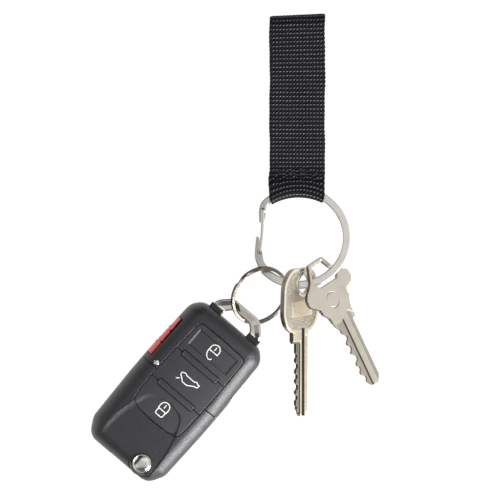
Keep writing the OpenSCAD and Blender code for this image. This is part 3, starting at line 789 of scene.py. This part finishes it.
# ---------- Right key ----------
RIGHT_T = 1.8
RIGHT_CUTS = (1.7, 1.1, 1.9, 0.9, 1.7)
RIGHT_HEAD = soften(
    [(5, 6.1), (-2.9, 5.6), (-5.6, -1.2), (-7.2, -2.6), (-9.4, -4.6), (-10.8, -6.7), (-10.8, -9.6),
     (-6.8, -12.6), (-6.2, -15), (-4.3, -17.2), (-3.4, -21.4), (-1.8, -23.6), (-1.8, -45.4),
     (1.0, -49.4), (4.4, -49.4), (6.4, -46.8), (6.4, -21.7), (8, -21.7), (8.1, -19.5),
     (7.6, -17.8), (8.6, -14.3), (9.6, -12.8), (9.2, -10.7), (10.4, -9.3), (13.2, -8.4),
     (14.5, -6.4), (14.2, -3.6), (11.8, -2.2), (8.4, 0.2), (7.5, 1.6)], 0.5)
RIGHT_HOLE = soften([(-1.9, 4.1), (3.9, 4.5), (5.7, 1.3), (7.6, -0.8), (8.6, -2.6), (7.6, -4.4),
                     (-2.2, -4.8), (-4.2, -2.8), (-3.8, -0.5)], 0.5)


def right_field(x, y, z):
    head = outline(RIGHT_HEAD, x, y)
    hole = outline(RIGHT_HOLE, x, y)
    cuts = cut_distance(RIGHT_CUTS, -1.8, -27.3, 4.5, x, y, 1.7)
    # Small steps along the head's shoulders, as stamped keys have
    teeth = 0.16 * np.cos(2 * math.pi * (x - y) / 1.5) * ease((abs(y + 6) - 1) / 2) * (
        y > -17) * (y < 3) * (abs(x) > 6)
    flat = maximum(maximum(head + teeth, -hole), -cuts)
    # Blade: the cut side is milled down to a wall, and the back edge has a ribbed channel
    milled = maximum(x - 1.75, y + 19.8)
    low = 0.45 * ease(-milled / 0.25)
    channel = maximum(4.4 - x, y + 17.5 + 0.8 * abs(x - 5.4))
    ridges = 0.07 * np.cos(2 * math.pi * (x - 4.4) / 0.65)
    low = maximum(low, (0.34 + ridges) * ease(-channel / 0.25))
    mark = abs(hypot(x - 0.8, y + 11.2) - 3.1) - 0.2
    low = maximum(low, 0.16 * ease(-mark / 0.14 + 0.5))
    low = maximum(low, 0.45 * np.clip(1 - hole / 0.8, 0, 1) * (y > -2.5))
    top = abs(z) - (RIGHT_T / 2 - low)
    return rounded(flat, top, 0.04)


# The right key's painted shade lies on its side walls and in its milled blade grooves.
right_key = make_key("right_key_plated", right_field, (-11.6, -50.2, -1.4), (15.0, 7.7, 1.4),
                     RIGHT, RIGHT_METAL, (-49, -24.5, 0.4), RIGHT_T,
                     [(1.5, 0.1, -20.5, 1.0), (-0.4, 1.8, -21.0, 0.3), (4.7, 0.1, -18.5, 0.7),
                      (5.5, 0.7, -18.5, 0.4)], 0.75)
finish_piece(right_key, "right_key", "right_key")

# ---------- Remote key: common shapes (a across, b along, z up) ----------
CORE = [(-12.8, 8.5), (-11.4, 6), (0, 6), (11.4, 6), (12.8, 8.5), (13.4, 30), (13.4, 44),
        (12.5, 63.8), (11.8, 64.6), (-11.8, 64.6), (-12.5, 63.8), (-13.4, 44), (-13.4, 30)]
CORE_R = 6.0
FACE = soften([(-13.2, -3), (-13.0, 6.2), (-12.4, 14.2), (-10.5, 21.6), (-8.8, 27.2), (-6.6, 29.7),
               (-3.6, 30.9), (1.4, 31.3), (6.4, 30.4), (8.9, 28.7), (10.8, 24.2), (11.7, 21.9),
               (13.2, 15.2), (13.7, 9.2), (14.0, -3)], 1.6, 3)
PANEL = soften([(-10.5, 63.6), (1, 63.8), (12.9, 63.4), (13.2, 50), (13.1, 37), (12.3, 22.4),
                (7, 21.4), (0, 21.1), (-7, 21.5), (-11.0, 22.6), (-11.7, 28), (-11.9, 37.9),
                (-11.2, 52)], 2.3, 5)
SEAM_B, SEAM_GAP = 38.2, 0.07
FOB_TOP = 16.0
SWING_R = 11.9  # room for the blade's tail to turn in
SCREW_AT = (-9, 14)
BARS = ((49.8, (-8.2, 9.6)), (35.1, (-8.2, 9.4)))
BAR_HALF = 1.3
LENS_AT = (-13.5, 39.9)
FOB_STEP = 0.19


def top_height(a, b):
    """Height of the remote's front over the plane, with its sunken lower face."""
    t = np.clip((33 - b) / 33, 0, 1)
    d = outline(FACE, a, b)
    wide = 0.55 + 1.7 * ease((3 - a) / 7)
    depth = 0.42 * ease(-d / wide + 0.15)
    scoop = 0.22 * np.exp(-(((a - 1) / 8) ** 2 + ((b - 24.5) / 5) ** 2)) * (d < 0)
    bowl = 0.48 * np.clip(1 - (a / 13.5) ** 2, 0, 1) * ease((25 - b) / 10) * (d < 0)
    return FOB_TOP - 1.35 * t * t - 0.004 * a * a - depth - scoop - bowl


def form(a, b, z, grow=0.0):
    """The whole remote key's outer form."""
    u = outline(CORE, a, b) - CORE_R - grow
    notch = ease((62.6 - b) / 0.9) * ease((b - 40) / 6) * (z > 9.0)
    u = u + 0.15 * notch * ease((a - 10) / 6)
    top = z - top_height(a, b) - grow
    return maximum(rounded(u, top, CORE_R), rounded(u, -z - grow, CORE_R))


def hollow(a, b, z):
    """Room inside the covers, above the seam."""
    u = outline(CORE, a, b) - CORE_R + 1.7
    return maximum(rounded(u, abs(z - 7.6) - 6.1, 4.6), SEAM_B + 1.4 - b)


def from_pivot(a, b):
    return hypot(a - PIVOT[0], b - PIVOT[1])


def blade_room(a, b, z):
    """The slot that the blade folds into, and the shaft of its hub."""
    slot = abs(z - MID_Z) - 1.6
    swing = from_pivot(a, b) - SWING_R
    lane = slab(a, b, (12.55, -2), (30, 61.9))
    mouth = slab(a, b, (PIVOT[0] - SWING_R, -2), (30, PIVOT[1]))
    shaft = maximum(from_pivot(a, b) - 5.5, abs(z - 7.65) - 5.05)
    return minimum(maximum(slot, minimum(minimum(swing, lane), mouth)), shaft)


def alarm_zone(a, b, z, gap):
    """The side window of the alarm button."""
    return maximum(maximum(abs(b - 50.1) - 9.3 - gap, abs(z - 8.55) - 4.95 - gap),
                   a + 16.6 - gap)


def shell_field(upper, front):
    """One quarter of the case: the cover or the blade's housing, front or back."""
    def field(a, b, z):
        d = form(a, b, z)
        cut = (SEAM_B + SEAM_GAP - b) if upper else (b - SEAM_B + SEAM_GAP)
        half = (MID_Z + SEAM_GAP - z) if front else (z - MID_Z + SEAM_GAP)
        d = rounded(rounded(d, cut, 0.14), half, 0.14)
        d = maximum(d, -blade_room(a, b, z))
        if upper:
            d = maximum(d, -hollow(a, b, z))
            d = maximum(d, -alarm_zone(a, b, z, 0.12))
        if front:
            panel = maximum(outline(PANEL, a, b) - 0.11, 10.4 - z)
            d = rounded(d, -panel, 0.12)
        if upper and front:
            lens = maximum(hypot(a - LENS_AT[0], b - LENS_AT[1]) - 1.2, 13.5 - z)
            d = maximum(d, -lens)
        if not upper:
            screw = hypot(a - SCREW_AT[0], b - SCREW_AT[1])
            if front:
                d = rounded(d, -maximum(from_pivot(a, b) - 3.78, 9.6 - z), 0.12)
                d = maximum(d, -maximum(screw - 0.95, z - 12.4))
            else:
                d = maximum(d, -minimum(screw - 1.1, maximum(screw - 2.15, z - 1.4)))
            tag = maximum(slab(a, b, (-16.2, 22), (-13, 35.2)), abs(z - 8) - 3)
            d = maximum(d, -tag)
        if not front:
            d = maximum(d, -back_recess(a, b, z, upper))
        return d
    return field


def back_recess(a, b, z, upper):
    """The back's shallow disc and its pry slot on the cover, and grip ribs on the housing."""
    if upper:
        disc = maximum((hypot(a, b - 53.5) / 10.5 - 1) * 8, z - 0.45)
        slot = maximum(slab(a, b, (-3.2, 40.0), (3.2, 41.1)), z - 0.9)
        return minimum(disc, slot)
    ribs = 1e9
    for k in range(5):
        ribs = minimum(ribs, maximum(
            slab(a, b, (-7.5, 20.2 + 2.6 * k), (7.5, 21.2 + 2.6 * k)), z - 0.4))
    return ribs


def fob_piece(name, field, low, high, step, material, body, node):
    piece = solid(name, field, low, high, step, FOB, material)
    return finish_piece(piece, body, node)


for name, upper, front, node in (
        ("cover_front_shell", True, True, "remote_cover_front"),
        ("cover_back_shell", True, False, "remote_cover_back"),
        ("housing_front_shell", False, True, "blade_housing_front"),
        ("housing_back_shell", False, False, "blade_housing_back")):
    fob_piece(name, shell_field(upper, front),
              (-20.2, 37.4 if upper else -1.0, 7.6 if front else -0.6),
              (20.2, 71.4 if upper else 38.9, 16.8 if front else 8.4),
              FOB_STEP, PLASTIC, "remote", node)

# ---------- Remote key: keypad ----------
PAD_STEP = 0.15


def pad_top(a, b):
    """Height of the keypad, with the sunken field of the top button."""
    well = slab(a, b, (-8.8, 53.7), (10.8, 61.4))
    depth = 0.40 - 0.012 * (a - 1)
    return top_height(a, b) + 0.02 - depth * ease(-well / 0.55 + 0.1)


def button_field(low_b, high_b):
    """One button of the keypad, between two lines across it."""
    def field(a, b, z):
        d = outline(PANEL, a, b) + 0.10
        d = maximum(d, maximum(low_b - b, b - high_b))
        for bar, (a0, a1) in BARS:
            d = maximum(d, -slab(a, b, (a0 - 0.1, bar - BAR_HALF - 0.1),
                                 (a1 + 0.1, bar + BAR_HALF + 0.1)))
        # The underside steps up beside the bars, clear of the mat's ridges when pressed
        beside = minimum(abs(b - BARS[0][0]), abs(b - BARS[1][0])) < 1.6
        under = np.where(beside, 15.08, 14.86)
        return maximum(rounded(d, z - pad_top(a, b), 0.16), under - z)
    return field


for name, low_b, high_b, node in (
        ("unlock_pad", 49.86, 64.2, "unlock_button"), ("boot_pad", 35.16, 49.74, "boot_button"),
        ("lock_pad", 20.8, 35.04, "lock_button")):
    fob_piece(name, button_field(low_b, high_b), (-12.6, low_b - 0.6, 14.7),
              (13.8, high_b + 0.6, 16.5), PAD_STEP, RUBBER, node, node)


def bars_field(a, b, z):
    """The two raised bars, each with a shallow trough along it."""
    d, saddle = 1e9, 0
    for bar, (a0, a1) in BARS:
        d = minimum(d, slab(a, b, (a0, bar - BAR_HALF), (a1, bar + BAR_HALF)))
        saddle = saddle + 0.16 * np.exp(-((b - bar) / 0.75) ** 2)
    top = z - 16.42 + 0.004 * a * a + saddle * ease(-d / 0.8)
    return maximum(rounded(d, top, 0.34), 14.6 - z)


fob_piece("keypad_ribs", bars_field, (-9, 33, 14.3), (10.2, 51.9, 16.8), 0.13, RUBBER,
          "remote", "keypad_bars")


def padlock(half, foot):
    """A round-topped padlock's outline."""
    top = [(half * math.cos(t), half * math.sin(t)) for t in np.linspace(0, math.pi, 13)]
    return [(-half, foot), (half, foot)] + top + [(-half, foot)]


LINE = 0.23
SLOT = [(0, -0.25), (0, 1.05)]
DOME, SHUT = padlock(2.05, -1.15), padlock(2.0, -1.5)
HOOK = [(-2.05, -1.15), (-2.1, -2.0), (-1.75, -3.0), (-1.0, -3.9), (-0.1, -4.4), (0.7, -4.3),
        (1.25, -3.7)]
BOX = soften([(-1.75, -1.5), (1.75, -1.5), (1.75, -3.95), (-1.75, -3.95)], 0.8, 4)
CAR = soften([(-4.35, 1.25), (-2.75, 1.9), (-2.0, 1.35), (2.15, 1.35), (2.75, 1.95),
              (3.65, 1.45), (4.5, 1.45), (4.4, 0.25), (2.9, -0.15), (0.4, -1.65),
              (-1.7, -1.65), (-3.35, -0.25), (-4.1, 0.15)], 0.3, 3)
LID = [(-4.6, -2.0), (-3.65, -1.2)]


def symbol_field(at, lines):
    """Printed lines on the keypad, about a point."""
    def field(a, b, z):
        d = 1e9
        for line in lines:
            d = minimum(d, stroke([(at[0] + p, at[1] + q) for p, q in line], a, b))
        return rounded(d - LINE, abs(z - pad_top(a, b)) - 0.07, 0.06)
    return field


for name, at, lines, key in (
        ("padlock_open", (1.03, 58.73), [DOME, SLOT, HOOK], "unlock"),
        ("padlock_shut", (0.6, 28.43), [SHUT, SLOT, BOX + BOX[:1]], "lock"),
        ("car_with_open_boot", (1.0, 42.4), [CAR + CAR[:1], LID], "boot")):
    fob_piece(name, symbol_field(at, lines), (at[0] - 5.2, at[1] - 5.2, 14.7),
              (at[0] + 5.2, at[1] + 3.6, 16.4), 0.075, INK, key + "_button",
              key + "_symbol")


# ---------- Remote key: alarm button, lens, release button, bail ----------
def alarm_field(a, b, z):
    d = maximum(form(a, b, z, -0.03), a + 17.2)
    zone = alarm_zone(a, b, z, -0.05)
    for at in (47.2, 53.0):
        d = d + 0.45 * np.exp(-((b - at) / 0.28) ** 2)
    d = d + 0.18 * np.exp(-((z - 9.4) / 1.6) ** 2) * np.cos((b - 50.1) * 0.95)
    return rounded(d, zone, 0.3)


fob_piece("alarm_bar", alarm_field, (-20.2, 40.2, 3.0), (-16.4, 60.0, 14.6), 0.2, ALARM,
          "alarm_button", "alarm_button")


def lens_field(a, b, z):
    r = hypot(a - LENS_AT[0], b - LENS_AT[1])
    dome = z - 15.75 + 0.22 * r * r
    return maximum(maximum(r - 1.1, dome), 13.6 - z)


fob_piece("lamp_dome", lens_field, (-15, 38.4, 13.3), (-12, 41.4, 16.2), 0.1, LENS,
          "remote", "lamp_lens")


def lathe(name, profile, centre, material):
    """A turned piece: (radius, height) points about an upright axis."""
    points, faces = [], []
    m, steps = len(profile), 72
    for i, (c, s) in enumerate(circle(1, steps)):
        j = (i + 1) % steps
        points += [(centre[0] + r * c, centre[1] + r * s, h) for r, h in profile]
        faces += [(i * m + k, j * m + k, j * m + k + 1, i * m + k + 1) for k in range(m - 1)]
    return add_mesh(name, points, faces, FOB, material)


def release_profile():
    """Stem, rim and a domed, mirror-like top inside the rim."""
    rim, top, dome = 3.7, 14.95, 0.75
    out = [(0.001, 8.8), (2.1, 8.8), (2.3, 9.0), (2.3, 14.0), (rim, 14.0), (rim, top - 0.25)]
    out += [(rim - 0.2 + 0.2 * math.cos(t), top - 0.22 + 0.22 * math.sin(t))
            for t in np.linspace(0, math.pi / 2, 6)]
    out += [(rim - 0.38, top), (rim - 0.5, top - 0.30)]
    out += [(r, top - 0.30 + dome * (1 - (r / (rim - 0.5)) ** 2))
            for r in np.linspace(rim - 0.55, 0.001, 18)]
    return out


finish_piece(lathe("release_dish", release_profile(), PIVOT, CHROME), "release_button",
             "release_button")


def make_release_spring():
    """A small coil under the release button's rim, fixed to the remote's body."""
    low, high, radius, wire = 12.75, 13.85, 3.15, 0.13
    line = [(PIVOT[0] + radius * math.cos(t), PIVOT[1] + radius * math.sin(t),
             low + wire + (high - low - 2 * wire) * t / (5 * math.pi))
            for t in np.linspace(0, 5 * math.pi, 150)]
    points, faces = sweep(line, circle(wire, 8), False)
    obj = add_mesh("release_coil", points, faces, FOB, SPRING)
    finish_piece(obj, "remote", "release_spring")
    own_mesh(obj)


make_release_spring()

BAIL_OUT = soften([(-12.1, 70.6), (12.1, 70.6), (11.6, 74.6), (7.4, 78.6), (5.6, 79.2),
                   (-5.6, 79.2), (-7.4, 78.6), (-11.6, 74.6)], 2.4, 5)
BAIL_IN = soften([(-6.0, 60), (6.6, 60), (6.9, 72.8), (4.4, 75.4), (-3.8, 75.4), (-6.3, 72.8)],
                 1.2, 4)
BAIL_SHIFT = 0.3


def bail_field(a, b, z):
    a = a - BAIL_SHIFT
    flat = maximum(maximum(outline(BAIL_OUT, a, b),
                           -outline(BAIL_IN, a, b)), 70.75 - b)
    dome = np.clip(-flat / 0.8, 0, 1)
    inward = maximum(-outline(BAIL_OUT, a, b) - 0.7, 0)
    half = 0.22 + 0.68 * np.sqrt(dome * (2 - dome)) - 0.32 * minimum(inward, 2.1)
    return maximum(flat, abs(z - MID_Z) - maximum(half, 0.2))


bail = fob_piece("bail_polished", bail_field, (-12.6, 70.2, 6.8), (13.2, 79.7, 9.2), 0.16, CHROME,
                 "remote", "key_bail")
bail_a, bail_b, _ = local_points(bail, FOB)
# Painted shade: the bail darkens on its inner side, along the edge of its opening.
float_attribute(bail, "groove", 0.75 * ease(
    (1.0 - outline(BAIL_IN, bail_a - BAIL_SHIFT, bail_b)) / 0.7))


def collar_field(a, b, z):
    d = minimum(abs(a + 9.2), abs(a - 9.9)) - 3.0
    body = rounded(rounded(d, abs(b - 71.4) - 1.2, 0.35), abs(z - MID_Z) - 2.0, 0.5)
    slot = maximum(maximum(d + 0.2, abs(z - MID_Z) - 0.98), 70.8 - b)
    return maximum(body, -slot)


fob_piece("bail_sockets", collar_field, (-12.8, 69.8, 5.6), (13.5, 73.0, 10.4), 0.16, COLLAR,
          "remote", "bail_collars")

# ---------- Folding blade ----------
BLADE_LINE = soften([(8.2, 1.2), (13.4, 1.7), (16.2, 3.8), (17.6, 8), (18.2, 14), (19.1, 30),
                     (19.1, 58.8), (16.9, 61.2), (14.9, 61.2), (12.9, 58.8), (12.9, 14),
                     (8.2, 11.4)], 0.8, 4)


def blade_field(a, b, z):
    flat = outline(BLADE_LINE, a, b)
    flat = maximum(flat, 5.22 - from_pivot(a, b))
    wave = 15.9 + 0.55 * np.sin((b - 20) * 0.42) * ease((b - 24) / 8)
    track = maximum(abs(a - wave) - 0.85, 20 - b)
    low = 0.6 * ease(-track / 0.2 + 0.3)
    return rounded(flat, abs(z - MID_Z) - (1.2 - low), 0.2)


fob_piece("blade_milled", blade_field, (7.4, 0.4, 6.4), (19.6, 61.9, 9.6), 0.16, BLADE,
          "blade", "folding_blade")

# ---------- CAD nodes that stay, with their materials ----------
for node, material, slot_name in (
        ("keypad_mat", RUBBER, "button_rubber"), ("circuit_board", BOARD, "board"),
        ("tact_switches", CELL, "switch_metal"), ("board_chips", CHIP, "chip_plastic"),
        ("coin_cell", CELL, "cell_steel"), ("cell_contact", BRASS, "contact_brass"),
        ("transponder", CHIP, "chip_plastic"), ("assembly_screw", DARK_METAL, "spring_steel"),
        ("flip_spring", SPRING, "spring_steel"),
        ("blade_hub", DARK_METAL, "hub_metal"), ("blade_pin", SPRING, "spring_steel")):
    kept = frame["nodes"][node]
    kept.data.materials.clear()
    kept.data.materials.append(material)

# ---------- Floor, light and camera ----------
LIGHT_SIDE = (0.76, -0.65, 0)
DARK_PATCH = (0, -0.26, 0.966)
VIEW_CENTRE = (0.0057, -0.0006)
EYE_HEIGHT, LOOK_HEIGHT = 0.95, 0.008
SHOWN_WIDTH = 0.2
SENSOR = 36.0
FLOOR_HALF, FLOOR_DROP = 3.0, 0.0003
FLOOR_GLOW = 0.97


def make_stage():
    half = FLOOR_HALF / MM
    corners = [(-half, -half, 0), (half, -half, 0), (half, half, 0), (-half, half, 0)]
    floor_material, tree, shader = tree_of("pale_floor")
    floor = add_mesh("floor", corners, [(0, 1, 2, 3)], Matrix.Identity(4), floor_material,
                     smooth=False)
    floor.location.z = -FLOOR_DROP
    feed(tree, shader, {
        "Base Color": (0.15, 0.15, 0.15, 1), "Emission Color": (1, 1, 1, 1),
        "Emission Strength": FLOOR_GLOW, "Roughness": 0.9, "Specular IOR Level": 0.1})


def area_light(name, at, size, power):
    """A soft light that points to the middle of the object."""
    data = bpy.data.lights.new(name, "AREA")
    data.shape = "RECTANGLE"
    data.size, data.size_y = size
    data.energy = power
    obj = add_object(name, data)
    obj.location = at
    obj.rotation_euler = (-Vector(at)).to_track_quat("-Z", "Y").to_euler()
    return obj


def make_light():
    """A studio of soft grey bands all round, and two soft lights low on the right."""
    world = bpy.data.worlds.new("studio")
    SCENE.world = world
    world.use_nodes = True
    tree = world.node_tree
    where = new_node(tree, "TexCoord", {}).outputs["Generated"]

    def by_direction(axis, stops):
        dot = tree.nodes.new("ShaderNodeVectorMath")
        dot.operation = "DOT_PRODUCT"
        feed(tree, dot, {0: where, 1: axis})
        half = tree.nodes.new("ShaderNodeMath")
        half.operation = "MULTIPLY_ADD"
        feed(tree, half, {0: dot.outputs["Value"], 1: 0.5, 2: 0.5})
        return ramp(tree, half.outputs[0], [(p, g) for p, g in stops])

    across = by_direction(LIGHT_SIDE, [
        (0.0, 0.8), (0.15, 0.80), (0.19, 0.08), (0.29, 0.08), (0.34, 0.80), (0.5, 0.95),
        (0.6, 0.95), (0.7, 0.85), (0.78, 0.9), (1.0, 1.2)])
    along = by_direction((0, 1, 0), [
        (0.0, 0.15), (0.2, 0.2), (0.3, 0.95), (0.5, 1.0),
        (0.62, 1.05), (0.72, 1.05), (0.79, 0.3), (1.0, 0.25)])
    overhead = by_direction(DARK_PATCH, [(0.0, 1.0), (0.90, 1.0), (0.955, 0.72), (1.0, 0.68)])
    bands = mixed(tree, "MULTIPLY", 1.0, across, along)
    feed(tree, tree.nodes["Background"], {
        "Color": mixed(tree, "MULTIPLY", 1.0, bands, overhead), "Strength": 1.0})
    # The first light is kept off the polished metal, whose edges it would burn out
    low_key = area_light("low_key", (0.60, -0.68, 0.51), (0.66, 0.50), 14.0)
    polished = {RING_STEEL, WIRE_STEEL, NICKEL, LEFT_METAL, RIGHT_METAL}
    lit = bpy.data.collections.new("lit_by_low_key")
    for obj in SCENE.objects:
        if obj.type == "MESH" and not polished & set(obj.data.materials):
            lit.objects.link(obj)
    low_key.light_linking.receiver_collection = lit
    area_light("rim", (0.72, -0.64, 0.17), (0.55, 0.20), 4.5)


make_stage()
make_light()
camera_data = bpy.data.cameras.new("camera")
camera = SCENE.camera = add_object("camera", camera_data)
camera.location = (*VIEW_CENTRE, EYE_HEIGHT)
camera_data.sensor_width = SENSOR
camera_data.lens = SENSOR * (EYE_HEIGHT - LOOK_HEIGHT) / SHOWN_WIDTH
camera_data.clip_start, camera_data.clip_end = 0.01, 20.0
SCENE.view_settings.view_transform = "Standard"
